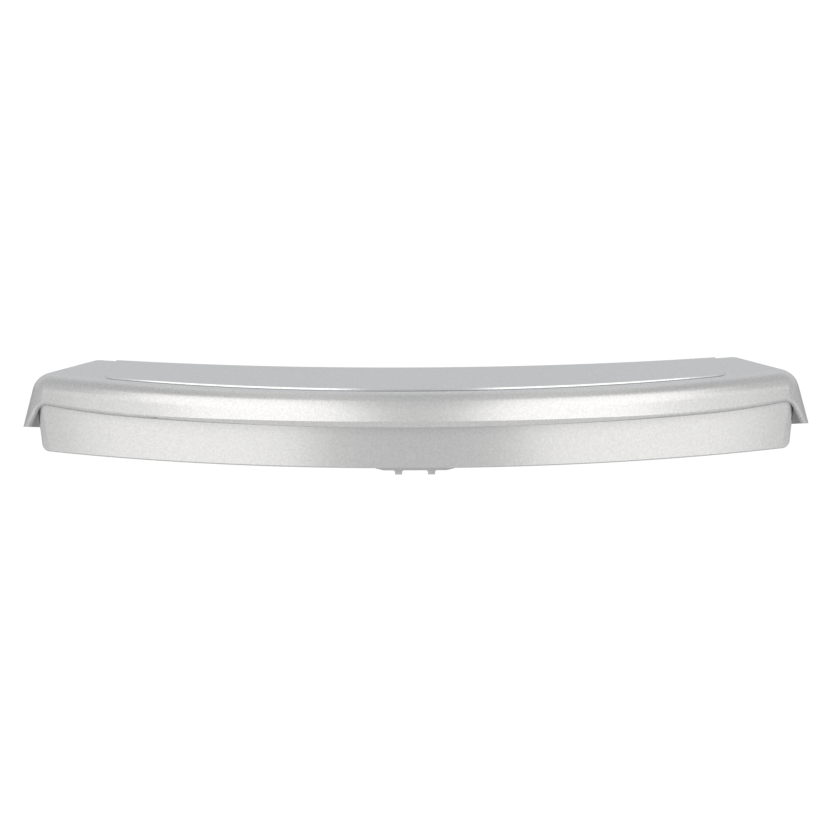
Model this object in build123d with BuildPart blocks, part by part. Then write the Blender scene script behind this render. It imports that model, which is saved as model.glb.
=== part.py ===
"""Door handle of a washing machine: one bowed moulding with a rolled lip, an apron below it and a catch.

Frame: X along the handle, -Y to the front, +Z up. The origin lies midway between the two inner screw bosses, on the
plane of their lower faces, where the handle is screwed to the lid.
"""
import os
from math import asin, cos, radians, sin, sqrt, tan

from build123d import *

# Cap: top plate, rolled lip and side wings, in millimetres and degrees
plan_radius = 331.7  # bow of the lip's lower front edge, seen from above
end_angle = 30.64  # each end lies on a ray from the centre of the bow, this far from the middle
plate_depth = 57.1  # front of the lip to the back edge, on the middle line
back_radius = 425.0  # bow of the back edge
plate_wall = 2.5  # top plate
lip_wall = 2.6  # rolled lip and wings
roll_radius = 9.4  # outside of the roll between the top and the lip
flare = 16.0  # lip and wings lean out by this much going down
corner_radius = 8.5  # front corners of the top, before the roll
lip_drop = 13.55  # top to the lower edge of the lip
lip_rise = 1.5  # the lower edge sweeps up by this much at the ends
lip_rise_run = 39.0  # over this length
lip_edge_radius = 1.5  # rounding of the lower outer edge
trim_depth = 1.22  # a sloped band trims that edge by this much on the middle line
trim_reach = 165.0  # and fades out this far from the middle
trim_angle = 9.0  # the band leans in by this much going down
wing_drop = 23.85  # top to the lower front tip of a wing
wing_fall = 14.0  # lower edge of a wing falls towards the back
leg_width = 3.7  # tip of a wing's front, where it comes down beside the apron
leg_lean = 27.0  # inner edge of that leg leans out by this much going down
arch_radius = 5.0  # arch between the lip and a leg
arch_depth = 6.0  # the arch is cut this far back from the front of the lip

# Apron below the lip
apron_radius = 394.0  # bow of the apron, flatter than the lip
apron_setback = 10.3  # lip front to apron face, on the middle line at the lip's lower edge
apron_half_width = 164.7  # middle to the end of the apron, at the lip's lower edge
apron_drop = 33.45  # top to the lower edge of the apron
apron_wall = 2.5
apron_draft = 5.0  # the apron draws in by this much going down
apron_return = 14.0  # short walls that turn back at its ends
apron_edge_radius = 3.0  # standing edges at its ends
apron_corner_radius = 3.4  # lower corners, seen from the front
apron_foot_radius = 0.7  # rounding along its lower front edge

# Raised pad on the top
pad_step = 0.75  # height on the middle line
pad_end_step = 0.5  # height at the ends
pad_slope = 30.0  # its edge leans in by this much going up
pad_half_length = 133.0
pad_gap = 0.5  # end of the roll to the pad's front edge
pad_corner_radius = 6.0

# Catch behind the apron
catch_half_width = 16.5
catch_wall = 2.5
catch_gap = 3.0  # back of the apron to the catch
catch_drop = 35.55  # top to the lower edge
catch_slope_run = 3.4  # its lower corners slope up over this length
catch_slope_rise = 0.8
prong_drop = 37.35  # top to the tips of the prongs
prong_width = 3.0
prong_half_spacing = 6.95
prong_fillet = 0.9
cheek_lift = 6.0  # cheeks between catch and apron end this far above the apron's lower edge

# Screw bosses and ribs under the top plate
screw_inner_half_spacing = 45.0
screw_outer_half_spacing = 115.0
screw_inset = 12.0  # back edge to a screw, front to back
screw_seat_drop = 12.0  # top to the lower face of a boss
boss_diameter = 8.0
pilot_diameter = 3.2
pilot_depth = 8.0
rib_wall = 1.8
rib_height = 4.0
rib_overhang = 8.0  # long rib beyond the outer screws
gusset_depth = 9.0  # triangular webs behind the apron
gusset_height = 10.0
gusset_spacing = 42.0
gusset_count = 3  # each side of the catch
root = 0.5  # ribs, bosses and walls run this far into what carries them
near = 0.05  # two places closer than this are taken as one


def bow(radius, x):
    """How far a bow of this radius falls back at x from its middle."""
    return radius - sqrt(radius**2 - x**2)


# Places that follow from the sizes above
flare_run = tan(radians(flare))
draft_run = tan(radians(apron_draft))
top = screw_seat_drop
underside = top - plate_wall
lip_level = top - lip_drop
wing_level = top - wing_drop
apron_level = top - apron_drop
front = screw_inset - plate_depth - bow(back_radius, screw_inner_half_spacing)
bow_centre = front + plan_radius
back_middle = front + plate_depth
back_centre = back_middle + back_radius
skirt = apron_drop + plate_wall
through = 2 * plan_radius  # longer than any cut has to be

# Front corners of the top: a circle against the bow and the end ray
top_radius = plan_radius - lip_drop * flare_run
corner_reach = top_radius - corner_radius
corner_angle = radians(end_angle) - asin(corner_radius / corner_reach)
corner_x = corner_reach * sin(corner_angle)
corner_y = bow_centre - corner_reach * cos(corner_angle)
wing_half_width = corner_x + corner_radius + wing_drop * flare_run
roll_run = roll_radius * tan(radians(45 - flare / 2))  # top outline to the end of the roll

# Apron face
apron_end_y = front + apron_setback + bow(apron_radius, apron_half_width)
apron_foot_back = front + apron_setback + (apron_drop - lip_drop) * draft_run + apron_wall


def top_outline(grow):
    """Pie-shaped plan of the cap's top, widened all round by grow; the tip lies far behind the handle."""
    radius = top_radius + grow
    tip = bow_centre + grow / sin(radians(end_angle))
    side = (tip - bow_centre) * cos(radians(end_angle)) + sqrt(radius**2 - grow**2)
    end_x = side * sin(radians(end_angle))
    end_y = tip - side * cos(radians(end_angle))
    with BuildSketch() as outline:
        with BuildLine():
            ThreePointArc((-end_x, end_y), (0, bow_centre - radius), (end_x, end_y))
            Polyline((end_x, end_y), (0, tip), (-end_x, end_y))
        make_face()
        fillet(outline.vertices().sort_by(Axis.Y)[:2], corner_radius + grow)
    return outline.sketch


def cap_form(level, grow, roll, overrun):
    """Solid with the cap's outside form from level down; its back edge is moved back by overrun."""
    outline = top_outline(grow)
    with BuildPart() as form:
        with BuildSketch(Plane.XY.offset(level)):
            add(outline)
        extrude(amount=-skirt, taper=-flare)
        with BuildSketch(Plane.XY.offset(level)):
            with Locations((0, back_centre)):
                Circle(back_radius - overrun)
        extrude(amount=-skirt, mode=Mode.SUBTRACT)
        rim = form.faces().sort_by(Axis.Z)[-1].edges()
        back_edge_middle = Vector(0, back_middle + overrun, level)
        fillet(rim.sort_by_distance(back_edge_middle)[1:], roll)
    return form.part


def apron_outline(grow):
    """Pie-shaped plan of the apron, widened all round by grow, with rounded standing edges."""
    tip = apron_end_y + apron_half_width / tan(radians(end_angle))
    with BuildSketch() as outline:
        with BuildLine():
            ThreePointArc(
                (-apron_half_width, apron_end_y),
                (0, front + apron_setback),
                (apron_half_width, apron_end_y),
            )
            Polyline((apron_half_width, apron_end_y), (0, tip), (-apron_half_width, apron_end_y))
        make_face()
        fillet(outline.vertices().sort_by(Axis.Y)[:2], apron_edge_radius)
        offset(amount=grow)
    return outline.sketch


def off_outside(point):
    """How far a point lies from the cap's flared front and corner faces, whichever is nearer."""
    drop = (top - point.Z) * flare_run
    from_bow = sqrt(point.X**2 + (point.Y - bow_centre) ** 2) - top_radius - drop
    from_corner = sqrt((abs(point.X) - corner_x) ** 2 + (point.Y - corner_y) ** 2) - corner_radius - drop
    return min(abs(from_bow), abs(from_corner))


def on_lip_edge(edge):
    """True for the lower outer edge of the lip, its arches and the inner edges of the legs."""
    if edge.bounding_box().max.Z > head_level + near:
        return False
    if abs(edge.center().X) > wing_half_width - leg_width / 2:
        return False
    return max(off_outside(edge @ place) for place in (0, 0.5, 1)) < near


# Opening under the lip, between the two legs
head_level = lip_level + lip_rise
with BuildPart() as arch:
    floor = top - 2 * skirt
    lean_run = tan(radians(leg_lean))
    head_half = wing_half_width - leg_width - (head_level - wing_level) * lean_run
    foot_half = head_half + (head_level - floor) * lean_run
    level_half = head_half - lip_rise_run
    with BuildSketch(Plane.XZ) as arch_view:
        with BuildLine():
            Polyline((-head_half, head_level), (-foot_half, floor), (foot_half, floor), (head_half, head_level))
            TangentArc((level_half, lip_level), (head_half, head_level), tangent=(1, 0))
            TangentArc((-level_half, lip_level), (-head_half, head_level), tangent=(-1, 0))
            Line((-level_half, lip_level), (level_half, lip_level))
        make_face()
        fillet(arch_view.vertices().group_by(Axis.Y)[-1], arch_radius)
    extrude(amount=through, both=True)
    with BuildSketch(Plane.XY.offset(top)):
        with Locations((0, bow_centre)):
            Circle(plan_radius - arch_depth)
    extrude(amount=-through, mode=Mode.SUBTRACT)

# Sloped band along the lip's lower edge: what lies in front of a cone whose bow is a little flatter than the lip
trim_bow = bow(plan_radius, trim_reach) - trim_depth
trim_radius = (trim_reach**2 + trim_bow**2) / (2 * trim_bow)
with BuildPart() as trim:
    trim_rise = 2 * trim_depth / flare_run
    with BuildSketch(Plane.XY.offset(lip_level + trim_rise)):
        with Locations((0, front)):
            Rectangle(2 * (head_half - arch_radius), through)
    extrude(amount=-(trim_rise + root))
    with BuildSketch(Plane.XY.offset(lip_level + trim_rise)):
        with Locations((0, front + trim_depth + trim_radius)):
            Circle(trim_radius + trim_rise * tan(radians(trim_angle)))
    extrude(amount=-(trim_rise + root), taper=trim_angle, mode=Mode.SUBTRACT)

# Apron: a drafted wall with short returns and rounded lower corners, kept within the cap's wall at its ends
apron_root = underside + root
apron_height = apron_root - apron_level
grow_at_root = (apron_root - lip_level) * draft_run
apron_outside = apron_outline(grow_at_root)
apron_inside = apron_outline(grow_at_root - apron_wall)
half_plate = plate_wall / 2
half_lip = lip_wall / 2 / cos(radians(flare))
half_wall_form = cap_form(
    top - half_plate, half_plate * flare_run - half_lip, roll_radius - lip_wall / 2, screw_inset
)
with BuildPart() as apron:
    with BuildSketch(Plane.XY.offset(apron_root)):
        add(apron_outside)
    extrude(amount=-apron_height, taper=apron_draft)
    with BuildSketch(Plane.XY.offset(apron_root)):
        add(apron_inside)
    extrude(amount=-apron_height, taper=apron_draft, mode=Mode.SUBTRACT)
    with BuildSketch(Plane.XY.offset(apron_root)):
        with Locations((0, apron_end_y + apron_return)):
            Rectangle(through, through, align=(Align.CENTER, Align.MIN))
    extrude(amount=-apron_height, mode=Mode.SUBTRACT)
    apron_half_root = apron.part.bounding_box().max.X
    apron_half_foot = apron_half_root - apron_height * draft_run
    with BuildSketch(Plane.XZ) as apron_view:
        with BuildLine():
            Polyline(
                (-apron_half_root, apron_root),
                (-apron_half_foot, apron_level),
                (apron_half_foot, apron_level),
                (apron_half_root, apron_root),
                close=True,
            )
        make_face()
        fillet(apron_view.vertices().group_by(Axis.Y)[0], apron_corner_radius)
    extrude(amount=through, both=True, mode=Mode.INTERSECT)
    add(half_wall_form, mode=Mode.INTERSECT)
    foot_edges = apron.faces().sort_by(Axis.Z)[0].edges()
    foot_middle = Vector(0, apron_foot_back - apron_wall, apron_level)
    fillet(foot_edges.sort_by_distance(foot_middle)[0], apron_foot_radius)

# Catch: a plate behind the apron with two prongs, held to the apron by two cheeks
catch_front = apron_foot_back + catch_gap
catch_level = top - catch_drop
cheek_level = apron_level + cheek_lift


def at_prong_root(vertex):
    """True for the inner corners where a prong leaves the catch."""
    beside_prong = abs(vertex.X) < prong_half_spacing + prong_width
    return beside_prong and abs(vertex.Y - catch_level) < near


with BuildPart() as catch:
    with BuildSketch(Plane.XZ.offset(-catch_front)) as catch_view:
        with BuildLine():
            Polyline(
                (-catch_half_width, underside + root),
                (-catch_half_width, catch_level + catch_slope_rise),
                (catch_slope_run - catch_half_width, catch_level),
                (catch_half_width - catch_slope_run, catch_level),
                (catch_half_width, catch_level + catch_slope_rise),
                (catch_half_width, underside + root),
                close=True,
            )
        make_face()
        with Locations((-prong_half_spacing, catch_level), (prong_half_spacing, catch_level)):
            Rectangle(prong_width, 2 * (prong_drop - catch_drop))
        fillet(catch_view.vertices().filter_by(at_prong_root), prong_fillet)
    extrude(amount=-catch_wall)
    with BuildSketch(Plane.YZ.offset(catch_half_width - rib_wall)):
        with BuildLine():
            Polyline(
                (front + apron_setback + apron_wall / 2, underside + root),
                (catch_front + root, underside + root),
                (catch_front + root, cheek_level),
                (apron_foot_back - root, cheek_level),
                close=True,
            )
        make_face()
    cheek = extrude(amount=rib_wall / 2, both=True)
    mirror(cheek, about=Plane.YZ)

# Under the top plate: screw bosses, a rib that joins them and gussets behind the apron
outer_screw_y = bow(back_radius, screw_outer_half_spacing) - bow(back_radius, screw_inner_half_spacing)
screw_places = [
    (-screw_outer_half_spacing, outer_screw_y),
    (-screw_inner_half_spacing, 0),
    (screw_inner_half_spacing, 0),
    (screw_outer_half_spacing, outer_screw_y),
]
rib_radius = back_radius + screw_inset
gusset_places = [gusset_spacing * (count + 1) for count in range(gusset_count)]
with BuildPart() as stiffening:
    with BuildSketch(Plane.XY.offset(underside + root)):
        with Locations((0, back_centre)):
            Circle(rib_radius + rib_wall / 2)
            Circle(rib_radius - rib_wall / 2, mode=Mode.SUBTRACT)
        Rectangle(2 * (screw_outer_half_spacing + rib_overhang), 2 * plate_depth, mode=Mode.INTERSECT)
    extrude(amount=-(rib_height + root))
    with BuildSketch(Plane.XY):
        with Locations(screw_places):
            Circle(boss_diameter / 2)
    extrude(amount=underside + root)
    for gusset_x in gusset_places:
        apron_back = front + apron_setback + bow(apron_radius, gusset_x) + apron_wall / 2
        with BuildSketch(Plane.YZ.offset(gusset_x)):
            with BuildLine():
                Polyline(
                    (apron_back, underside + root),
                    (apron_back + apron_wall / 2 + gusset_depth, underside + root),
                    (apron_back + apron_wall / 2 + gusset_depth, underside),
                    (apron_back + apron_wall / 2, underside - gusset_height),
                    (apron_back, underside - gusset_height),
                    close=True,
                )
            make_face()
        gusset = extrude(amount=rib_wall / 2, both=True)
        mirror(gusset, about=Plane.YZ)

# Pad: a low crowned step on the top with sloped edges, between the roll and the back edge
with BuildPart() as pad:
    pad_foot = root * tan(radians(pad_slope))  # the pad's root inside the plate is wider by this much
    with BuildSketch(Plane.XY.offset(top - root)) as pad_plan:
        with Locations((0, bow_centre)):
            Circle(top_radius - roll_run - pad_gap + pad_foot)
        Rectangle(2 * (pad_half_length + pad_foot), through, mode=Mode.INTERSECT)
        fillet(pad_plan.vertices().group_by(Axis.Y)[0], pad_corner_radius)
    extrude(amount=root + plate_wall, taper=pad_slope)
    with BuildSketch(Plane.XY.offset(underside)):
        with Locations((0, back_centre)):
            Circle(back_radius)
    extrude(amount=2 * plate_wall, mode=Mode.SUBTRACT)
    with BuildSketch(Plane.XZ):
        with BuildLine():
            ThreePointArc(
                (-pad_half_length, top + pad_end_step),
                (0, top + pad_step),
                (pad_half_length, top + pad_end_step),
            )
            Polyline(
                (pad_half_length, top + pad_end_step),
                (pad_half_length, underside + root),
                (-pad_half_length, underside + root),
                (-pad_half_length, top + pad_end_step),
            )
        make_face()
    extrude(amount=through, both=True, mode=Mode.INTERSECT)

# The whole moulding
cap = cap_form(top, 0, roll_radius, 0)
hollow_grow = plate_wall * flare_run - lip_wall / cos(radians(flare))
hollow = cap_form(underside, hollow_grow, roll_radius - lip_wall, screw_inset)
wing_front = corner_y - corner_radius - wing_drop * flare_run
wing_back = corner_y + plate_depth
wing_run = tan(radians(wing_fall))
with BuildPart() as handle:
    add(cap)
    add(arch.part, mode=Mode.SUBTRACT)
    with BuildSketch(Plane.YZ):
        with BuildLine():
            Polyline(
                (wing_front, wing_level + (corner_y - wing_front) * wing_run),
                (wing_back, wing_level - (wing_back - corner_y) * wing_run),
                (wing_back, wing_level - skirt),
                (wing_front, wing_level - skirt),
                close=True,
            )
        make_face()
    extrude(amount=through, both=True, mode=Mode.SUBTRACT)
    fillet(handle.edges().filter_by(on_lip_edge), lip_edge_radius)
    add(trim.part, mode=Mode.SUBTRACT)
    add(hollow, mode=Mode.SUBTRACT)
    add(pad.part)
    add(apron.part)
    add(catch.part)
    add(stiffening.part)
    with BuildSketch(Plane.XY):
        with Locations(screw_places):
            Circle(pilot_diameter / 2)
    extrude(amount=pilot_depth, mode=Mode.SUBTRACT)

handle.part.label = "handle_moulding"
os.makedirs("parts", exist_ok=True)
export_step(handle.part, "parts/handle_moulding.step")
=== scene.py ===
# %% [markdown]
# # A silver washing machine door handle
# The real object is one long plastic moulding, sprayed silver. Its whole shape comes from the solid
# model that the first cell loads, so this lesson is about the rest of a product picture: where the
# camera stands, what the paint is made of, and which lamps it mirrors. Silver paint has hardly any
# colour of its own. What it shows is the room, so the paint and the lamps are tuned together.

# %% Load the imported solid
import math

import bmesh
import bpy
from mathutils import Matrix, Vector

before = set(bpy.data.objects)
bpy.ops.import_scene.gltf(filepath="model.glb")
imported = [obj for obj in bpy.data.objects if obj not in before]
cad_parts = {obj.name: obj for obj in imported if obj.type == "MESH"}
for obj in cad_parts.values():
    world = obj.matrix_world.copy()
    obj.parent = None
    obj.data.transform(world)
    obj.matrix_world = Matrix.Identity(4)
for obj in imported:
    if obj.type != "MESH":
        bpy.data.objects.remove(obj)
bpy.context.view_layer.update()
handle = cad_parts["handle_moulding"]

# %% [markdown]
# ## Surface shading
# The solid arrives as triangles that carry the normals of the true curved faces, so the rolled lip
# already shades smoothly. A first look at the mesh tells whether those normals came along: without them
# the roll would show facets.

# %% Look at the mesh's own normals
smooth_share = sum(face.use_smooth for face in handle.data.polygons) / len(handle.data.polygons)
print("smooth faces", round(smooth_share, 3), "own normals", handle.data.has_custom_normals)

# %% [markdown]
# ## The camera
# The picture was taken with a long lens from a little above the handle, nearly square to its middle. A
# long lens keeps the bowed front from swelling towards the viewer. The camera is described by the point
# it looks at, its distance, how far it stands above the horizon, a small swing to the right and a small
# tilt of the picture. These are turned into the three axes of a camera: right, up and back.

# %% Place the camera
lens_millimetres = 100.0
sensor_millimetres = 36.0
nearest_seen = 0.01
furthest_seen = 50.0
camera_distance = 0.9518
camera_rise = math.radians(12.5)
camera_swing = math.radians(0.46)
camera_tilt = math.radians(0.36)
front_of_lip = Vector((0.0, -0.0474, 0.0))
looked_at = Vector((0.0009, -0.0474, 0.00355))

level_turn = Matrix.Rotation(camera_swing, 3, "Z")
forward = level_turn @ Vector((0.0, math.cos(camera_rise), -math.sin(camera_rise)))
level_right = level_turn @ Vector((1.0, 0.0, 0.0))
level_up = level_right.cross(forward)
right = level_right * math.cos(camera_tilt) - level_up * math.sin(camera_tilt)
up = level_right * math.sin(camera_tilt) + level_up * math.cos(camera_tilt)
aim = front_of_lip + level_turn @ (looked_at - front_of_lip)
camera_place = Matrix.Translation(aim - forward * camera_distance)
camera_turn = Matrix((right, up, -forward)).transposed().to_4x4()

camera_data = bpy.data.cameras.new("product_camera")
camera_data.lens = lens_millimetres
camera_data.sensor_width = sensor_millimetres
camera_data.clip_start = nearest_seen
camera_data.clip_end = furthest_seen
camera = bpy.data.objects.new("product_camera", camera_data)
camera.matrix_world = camera_place @ camera_turn
bpy.context.scene.collection.objects.link(camera)
bpy.context.scene.camera = camera
print("camera at", [round(v, 4) for v in camera.location], "looks along", [round(v, 3) for v in forward])

# %% [markdown]
# ## Tools for node trees
# The floor, the backdrop and the paint are all trees of nodes. A few small functions keep the wiring
# short. Each takes plain values or the outputs of other nodes, and most give back the output that the
# next node needs.

# %% Write the node tools
def fill(made, inputs):
    """Fills the inputs of a node, by name or by number, with plain values or other nodes' outputs."""
    for key, value in inputs.items():
        if isinstance(value, bpy.types.NodeSocket):
            made.id_data.links.new(value, made.inputs[key])
        else:
            made.inputs[key].default_value = value


def node(tree, kind, inputs):
    """Adds a node and fills its inputs."""
    made = tree.nodes.new(kind)
    fill(made, inputs)
    return made


def calc(tree, operation, *values):
    """The result of one step of arithmetic on numbers."""
    made = tree.nodes.new("ShaderNodeMath")
    made.operation = operation
    fill(made, dict(enumerate(values)))
    return made.outputs["Value"]


def vector_calc(tree, operation, *values):
    """The same for vectors: a number for a length or a dot product, or else a vector."""
    made = tree.nodes.new("ShaderNodeVectorMath")
    made.operation = operation
    fill(made, dict(enumerate(values)))
    return made.outputs["Value" if operation in ("LENGTH", "DOT_PRODUCT") else "Vector"]


def smooth_step(tree, value, span, ends=(0.0, 1.0)):
    """Fades from the first of the ends to the second while the value crosses the span."""
    made = tree.nodes.new("ShaderNodeMapRange")
    made.interpolation_type = "SMOOTHSTEP"
    fill(made, {"Value": value, "From Min": span[0], "From Max": span[1]})
    fill(made, {"To Min": ends[0], "To Max": ends[1]})
    return made.outputs["Result"]


def noise(tree, vector, scale, detail):
    """A cloudy pattern between 0 and 1."""
    made = node(tree, "ShaderNodeTexNoise", {"Vector": vector, "Scale": scale, "Detail": detail})
    return made.outputs["Fac"]


def mix_number(tree, share, first, second):
    """The first number where share is 0, the second where it is 1."""
    made = tree.nodes.new("ShaderNodeMix")
    made.data_type = "FLOAT"
    fill(made, {0: share, 2: first, 3: second})
    return made.outputs[0]


def mix_colour(tree, share, first, second):
    """The first colour where share is 0, the second where it is 1."""
    made = tree.nodes.new("ShaderNodeMix")
    made.data_type = "RGBA"
    fill(made, {0: share, 6: first, 7: second})
    return made.outputs[2]


def grey(tone):
    """A colour without hue."""
    return (tone, tone, tone, 1.0)


print("node tools", [tool.__name__ for tool in (node, calc, vector_calc, smooth_step, noise, mix_colour)])

# %% [markdown]
# ## Floor and backdrop
# The handle is a cut-out on white, held in the air as if by its screws. A wide pale floor lies well
# below it. To the eye and in mirror reflections the floor is mostly plain white; a share of it stays an
# ordinary matt surface, so that it still takes the handle's shadow. From underneath it lets the view
# through, because the underside is worth a look.

# %% Make the pale floor
floor_level = -0.45
floor_half_size = 6.0
floor_tone = 0.86
plain_white = 0.91
shadow_tone = 0.10

floor_mesh = bpy.data.meshes.new("floor")
shape = bmesh.new()
bmesh.ops.create_grid(shape, x_segments=1, y_segments=1, size=floor_half_size)
bmesh.ops.translate(shape, verts=shape.verts, vec=(0.0, 0.0, floor_level))
shape.to_mesh(floor_mesh)
shape.free()
floor = bpy.data.objects.new("floor", floor_mesh)
bpy.context.scene.collection.objects.link(floor)

floor_paint = bpy.data.materials.new("pale_floor")
floor_paint.use_nodes = True
tree = floor_paint.node_tree
tree.nodes.clear()
ray = node(tree, "ShaderNodeLightPath", {})
side = node(tree, "ShaderNodeNewGeometry", {})
matt = node(tree, "ShaderNodeBsdfDiffuse", {"Color": grey(floor_tone)})
white = node(tree, "ShaderNodeEmission", {"Color": grey(1.0), "Strength": plain_white})
faint_matt = node(tree, "ShaderNodeBsdfDiffuse", {"Color": grey(shadow_tone)})
clear = node(tree, "ShaderNodeBsdfTransparent", {})
white_with_shadow = node(tree, "ShaderNodeAddShader", {0: white.outputs[0], 1: faint_matt.outputs[0]})
seen_or_mirrored = calc(tree, "MAXIMUM", ray.outputs["Is Camera Ray"], ray.outputs["Is Glossy Ray"])
seen_at_all = calc(tree, "MAXIMUM", seen_or_mirrored, ray.outputs["Is Transmission Ray"])
pale = white_with_shadow.outputs[0]
lit = node(tree, "ShaderNodeMixShader", {0: seen_at_all, 1: matt.outputs[0], 2: pale})
from_below = side.outputs["Backfacing"]
one_sided = node(tree, "ShaderNodeMixShader", {0: from_below, 1: lit.outputs[0], 2: clear.outputs[0]})
node(tree, "ShaderNodeOutputMaterial", {"Surface": one_sided.outputs[0]})
floor_mesh.materials.append(floor_paint)
print("floor", round(floor_level, 3), "m, normal up:", floor_mesh.polygons[0].normal.z > 0)

# %% [markdown]
# The backdrop is the world: plain white round the horizon and a little greyer overhead, which darkens
# the upper part of the rolled lip. Behind the handle, above the horizon, stands a bright wall with a
# trace of blue. The camera never looks there, but the flat top mirrors it at a slant, and on the real
# handle the top is the coolest grey of all. The spans are parts of a direction: 0 is level, or square
# to the handle's depth, and 1 is straight up or straight back.

# %% Make the backdrop
horizon_white = 1.0
overhead_grey = 0.90
wall_behind = (1.42, 1.445, 1.475, 1.0)
overhead_span = (0.35, 0.95)
behind_span = (0.3, 0.9)
wall_foot_span = (0.0, 0.18)

world = bpy.data.worlds.new("white_backdrop")
bpy.context.scene.world = world
world.use_nodes = True
tree = world.node_tree
tree.nodes.clear()
direction = node(tree, "ShaderNodeTexCoord", {})
look = node(tree, "ShaderNodeSeparateXYZ", {"Vector": direction.outputs["Generated"]})
strength = smooth_step(tree, look.outputs["Z"], overhead_span, (horizon_white, overhead_grey))
behind = smooth_step(tree, look.outputs["Y"], behind_span)
above = smooth_step(tree, look.outputs["Z"], wall_foot_span)
wall = mix_colour(tree, calc(tree, "MULTIPLY", behind, above), grey(1.0), wall_behind)
backdrop = node(tree, "ShaderNodeBackground", {"Color": wall, "Strength": strength})
node(tree, "ShaderNodeOutputWorld", {"Surface": backdrop.outputs["Background"]})
print("backdrop", horizon_white, "at the horizon,", overhead_grey, "overhead, wall behind", wall_behind[:3])

# %% [markdown]
# ## The lamps
# On the real handle each half of the lip and of the apron has one broad bright patch, with a greyer
# stretch between them in the middle. That is the reflection of two tall soft lamps, left and right of
# the camera. Each lamp is a rectangle that faces the handle. The upper pair lights the lip; a lower,
# weaker pair reaches the apron, which leans back under the lip and mirrors what is below the horizon.
# Towards its ends the lip turns away from these four, so a third, weaker pair stands further out and
# lets the bright patches run out slowly. A weak fourth pair overhead carries them on over the roll.

# %% Hang the soft lamps
lamp_tint = (1.0, 0.985, 0.965)


def soft_lamp(name, hand, rise, distance, inner, outer, height, brightness):
    """A rectangular lamp in front of the handle or over it, tipped towards it. Hand is -1 for left and 1
    for right, inner and outer are its edges off the middle, and brightness is how bright it looks, 1 being
    white."""
    lamp_data = bpy.data.lights.new(name, "AREA")
    lamp_data.shape = "RECTANGLE"
    lamp_data.size = outer - inner
    lamp_data.size_y = height
    lamp_data.energy = brightness * math.pi * lamp_data.size * height
    lamp_data.color = lamp_tint
    lamp = bpy.data.objects.new(name, lamp_data)
    away = Vector((0.0, -math.cos(math.radians(rise)), math.sin(math.radians(rise))))
    lamp.location = front_of_lip + away * distance + Vector((hand * (inner + outer) / 2, 0.0, 0.0))
    lamp.rotation_mode = "QUATERNION"
    lamp.rotation_quaternion = away.to_track_quat("Z", "Y")
    lamp.visible_camera = False
    bpy.context.scene.collection.objects.link(lamp)
    return lamp


lamp_kinds = {
    "upper": dict(rise=42.5, distance=1.2, inner=0.24, outer=1.20, height=1.76, brightness=1.30),
    "lower": dict(rise=-28.0, distance=0.6, inner=0.205, outer=0.90, height=0.36, brightness=0.86),
    "outer": dict(rise=30.0, distance=1.05, inner=1.05, outer=2.1, height=1.15, brightness=0.52),
    "overhead": dict(rise=108.0, distance=1.0, inner=0.12, outer=0.42, height=0.90, brightness=0.26),
}
lamps = []
for side_name, hand in (("left", -1), ("right", 1)):
    for kind, measures in lamp_kinds.items():
        lamps.append(soft_lamp(kind + "_" + side_name, hand, **measures))
print("lamps", [lamp.name for lamp in lamps], [round(lamp.data.energy, 2) for lamp in lamps])

# %% [markdown]
# ## Silver paint on grey plastic
# The moulding itself is grey plastic. Silver lacquer, full of tiny metal flakes, is sprayed on from
# outside. Three things show on the real handle: a fine grain where the flakes lie at different angles,
# a darker stretch under the lip, where shade falls, which is painted into the colour as painted
# shade, and a brightness that changes with the slant. The inside, which the picture doesn't show, is
# taken to be bare plastic.
#
# The first cells lay out where the coat is. The spray comes from all round, so a face is coated when it
# looks away from a point inside the handle. The edge of the coat is ragged, as overspray is, which a
# little noise takes care of.

# %% Find where the spray reaches
inside_point = Vector((0.0, 0.03, -0.06))
ragged_scale = 420.0
ragged_detail = 4.0
ragged_share = 0.4
coat_span = (0.0, 0.35)

paint = bpy.data.materials.new("silver_paint")
paint.use_nodes = True
tree = paint.node_tree
tree.nodes.clear()
coordinates = node(tree, "ShaderNodeTexCoord", {})
place = coordinates.outputs["Object"]
normal = coordinates.outputs["Normal"]
place_axes = node(tree, "ShaderNodeSeparateXYZ", {"Vector": place}).outputs
normal_axes = node(tree, "ShaderNodeSeparateXYZ", {"Vector": normal}).outputs
outward = vector_calc(tree, "NORMALIZE", vector_calc(tree, "SUBTRACT", place, inside_point))
facing = vector_calc(tree, "DOT_PRODUCT", outward, normal)
ragged = noise(tree, place, ragged_scale, ragged_detail)
outer_coat = smooth_step(tree, calc(tree, "MULTIPLY_ADD", ragged, ragged_share, facing), coat_span)
print("coat looks away from", [round(v, 3) for v in inside_point])

# %% [markdown]
# Screw bosses, webs and the catch stand in the hollow behind the apron, and some of their sides look
# outwards too. Spray hardly drifts up there. So behind the apron, between the wings and below the plate
# the coat fades out on the way up. What lies behind the bowed apron is told by the level distance from
# the middle of its arc.

# %% Keep the hollow bare
apron_radius = 0.394
apron_setback = 0.0103
apron_back = apron_radius - 0.0035
hollow_half_length = 0.132
hollow_top = 0.0092
overspray_span = (0.0, -0.012)
apron_middle = front_of_lip + Vector((0.0, apron_setback + apron_radius, 0.0))


def distance_in_plan(middle):
    """The level distance of a point of the handle from an upright line through middle."""
    apart = vector_calc(tree, "SUBTRACT", place, middle)
    level = vector_calc(tree, "MULTIPLY", apart, (1.0, 1.0, 0.0))
    return vector_calc(tree, "LENGTH", level)


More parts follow.
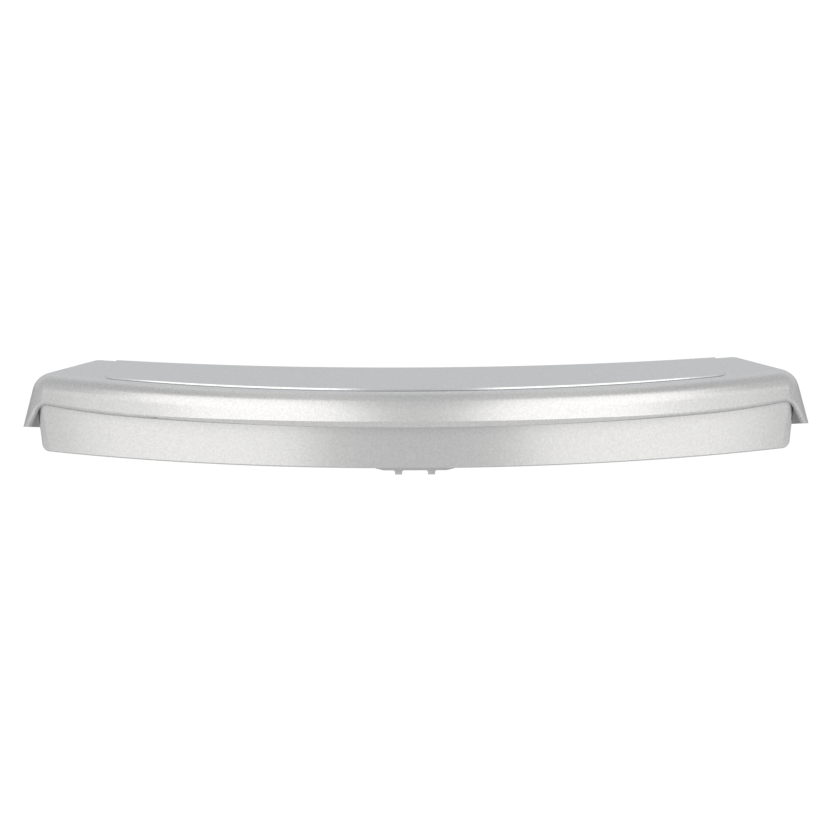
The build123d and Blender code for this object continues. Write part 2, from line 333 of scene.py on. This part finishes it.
hollow_limits = (
    (distance_in_plan(apron_middle), apron_back),
    (calc(tree, "ABSOLUTE", place_axes["X"]), hollow_half_length),
    (place_axes["Z"], hollow_top),
)
reached = smooth_step(tree, place_axes["Z"], overspray_span)
for measure, limit in hollow_limits:
    reached = calc(tree, "MAXIMUM", reached, calc(tree, "GREATER_THAN", measure, limit))
coat = calc(tree, "MULTIPLY", outer_coat, reached)
print("hollow lies within", apron_back, "m of", [round(v, 4) for v in apron_middle])

# %% [markdown]
# The grain is the product of two patterns: cells of under half a millimetre, each with its own shade,
# for clusters of flakes, and a soft cloud about a millimetre wide, because flakes never settle quite
# evenly. Ambient occlusion finds the places that are shut in by other walls, and the colour is darkened
# there as painted shade, most of all on the apron under the lip.

# %% Grain and painted shade
cluster_scale = 2600.0
cluster_shades = (0.95, 1.05)
cloud_scale = 900.0
cloud_detail = 1.0
cloud_span = (0.2, 0.8)
silver_tones = (0.441, 0.479)
shut_in_distance = 0.014
shut_in_span = (0.35, 0.97)
painted_shade_tones = (0.64, 1.0)

cluster = node(tree, "ShaderNodeTexVoronoi", {"Vector": place, "Scale": cluster_scale})
cluster_shade = smooth_step(tree, cluster.outputs["Color"], (0.0, 1.0), cluster_shades)
cloud_shade = smooth_step(tree, noise(tree, place, cloud_scale, cloud_detail), cloud_span, silver_tones)
shut_in = node(tree, "ShaderNodeAmbientOcclusion", {"Distance": shut_in_distance})
shut_in.samples = 16
shut_in.only_local = True
# Painted shade: the silver is darkened where ambient occlusion finds walls close by, as on the apron under
# the lip and in the hollow.
painted_shade = smooth_step(tree, shut_in.outputs["AO"], shut_in_span, painted_shade_tones)
grain = calc(tree, "MULTIPLY", cluster_shade, cloud_shade)
grain_with_painted_shade = calc(tree, "MULTIPLY", grain, painted_shade)
print("grain of", cluster_scale, "and", cloud_scale, "to the metre")

# %% [markdown]
# A raised pad lies on the top, and on the real handle its sloping rim draws a thin white line that
# shows the two lamps and breaks off between them. So the rim is glossier than the rest, probably
# because wet lacquer runs smooth on such a narrow slope. Its colour is also made brighter, a painted
# highlight that makes the line stronger. A rim point is found by two things that only it has together:
# it lies above the flat of the plate, and its face isn't level.

# %% Glossy rim of the pad, with a painted highlight
plate_top = 0.0120
rim_foot_span = (plate_top, plate_top + 0.0001)
not_level_span = (0.97, 0.85)
painted_highlight_share = 0.16

above_plate = smooth_step(tree, place_axes["Z"], rim_foot_span)
not_level = smooth_step(tree, normal_axes["Z"], not_level_span)
rim = calc(tree, "MULTIPLY", above_plate, not_level)
# Painted highlight: the colour of the rim is made brighter by this share, so that the rim's line shows
# stronger.
painted_highlight_gain = calc(tree, "MULTIPLY_ADD", rim, painted_highlight_share, 1.0)
silver = calc(tree, "MULTIPLY", grain_with_painted_shade, painted_highlight_gain)
print("rim above", plate_top, "m is", round(100 * painted_highlight_share), "percent brighter")

# %% [markdown]
# A narrow band along the lip's lower edge looks slightly down, away from the spray gun. On the real
# handle the lamps blur into an even grey there, so its coat is matter than the rest, probably from mist
# that lands half dry. The mask takes faces that don't look up and that are as far as the lip from the
# middle of the lip's own arc; the apron lies further in.

# %% Matter band under the lip
lip_radius = 0.3317
on_lip_span = (lip_radius - 0.0024, lip_radius - 0.0020)
not_up_span = (0.14, 0.0)
lip_middle = front_of_lip + Vector((0.0, lip_radius, 0.0))

on_lip = smooth_step(tree, distance_in_plan(lip_middle), on_lip_span)
not_up = smooth_step(tree, normal_axes["Z"], not_up_span)
matter_band = calc(tree, "MULTIPLY", on_lip, not_up)
print("band lies", lip_radius, "m from", [round(v, 4) for v in lip_middle])

# %% [markdown]
# The inside keeps the bare plastic. The steel of the mould is eroded with sparks there, which leaves a
# fine even texture, and the melt cools at different speeds, which leaves faint cloudy streaks along the
# handle. The streaks come from a noise that is stretched along X.

# %% Bare plastic inside
stretch = (0.25, 1.0, 1.0)
streak_scale = 110.0
streak_detail = 5.0
dark_plastic = (0.215, 0.216, 0.222, 1.0)
light_plastic = (0.325, 0.325, 0.335, 1.0)
texture_scale = 1500.0
texture_detail = 2.0
texture_height = 8.0

streaks = noise(tree, vector_calc(tree, "MULTIPLY", place, stretch), streak_scale, streak_detail)
plastic = mix_colour(tree, streaks, dark_plastic, light_plastic)
mould_texture = noise(tree, place, texture_scale, texture_detail)
mould_height = calc(tree, "MULTIPLY", mould_texture, texture_height)
print("bare plastic between", dark_plastic[:3], "and", light_plastic[:3])

# %% [markdown]
# Now the surface. The coat mask mixes silver with plastic grey and also steers how metallic and how
# rough the surface is. On the coat the height pattern is a faint orange peel, the slow waviness that
# sprayed lacquer dries with; on the bare plastic it is the mould's texture. The flakes lie flat in the
# lacquer, so such paint is brightest when it is looked at squarely and darker at a slant. The specular
# tint of a metallic surface sets just that: below 1, it takes away some of the brightness that a plain
# metal would gain towards its rim.

# %% Mix the surface
slant_tone = 0.62
peel_scale = 260.0
peel_detail = 2.0
bump_strength = 0.03
bump_distance = 0.0002
plastic_roughness = 0.52
coat_roughness = 0.27
band_extra_roughness = 0.30
rim_extra_roughness = -0.11

colour = mix_colour(tree, coat, plastic, silver)
roughness = smooth_step(tree, coat, (0.0, 1.0), (plastic_roughness, coat_roughness))
roughness = calc(tree, "MULTIPLY_ADD", matter_band, band_extra_roughness, roughness)
roughness = calc(tree, "MULTIPLY_ADD", rim, rim_extra_roughness, roughness)
height = mix_number(tree, coat, mould_height, noise(tree, place, peel_scale, peel_detail))
bump = node(tree, "ShaderNodeBump", {
    "Strength": bump_strength,
    "Distance": bump_distance,
    "Height": height,
})
surface = node(tree, "ShaderNodeBsdfPrincipled", {
    "Base Color": colour,
    "Metallic": coat,
    "Roughness": roughness,
    "Specular Tint": grey(slant_tone),
    "Normal": bump.outputs["Normal"],
})
node(tree, "ShaderNodeOutputMaterial", {"Surface": surface.outputs["BSDF"]})

handle.data.materials[0] = paint
print("painted", handle.name, "with", paint.name)

# %% [markdown]
# ## Finish
# The picture is taken with plain colours.

bpy.context.scene.view_settings.view_transform = "Standard"
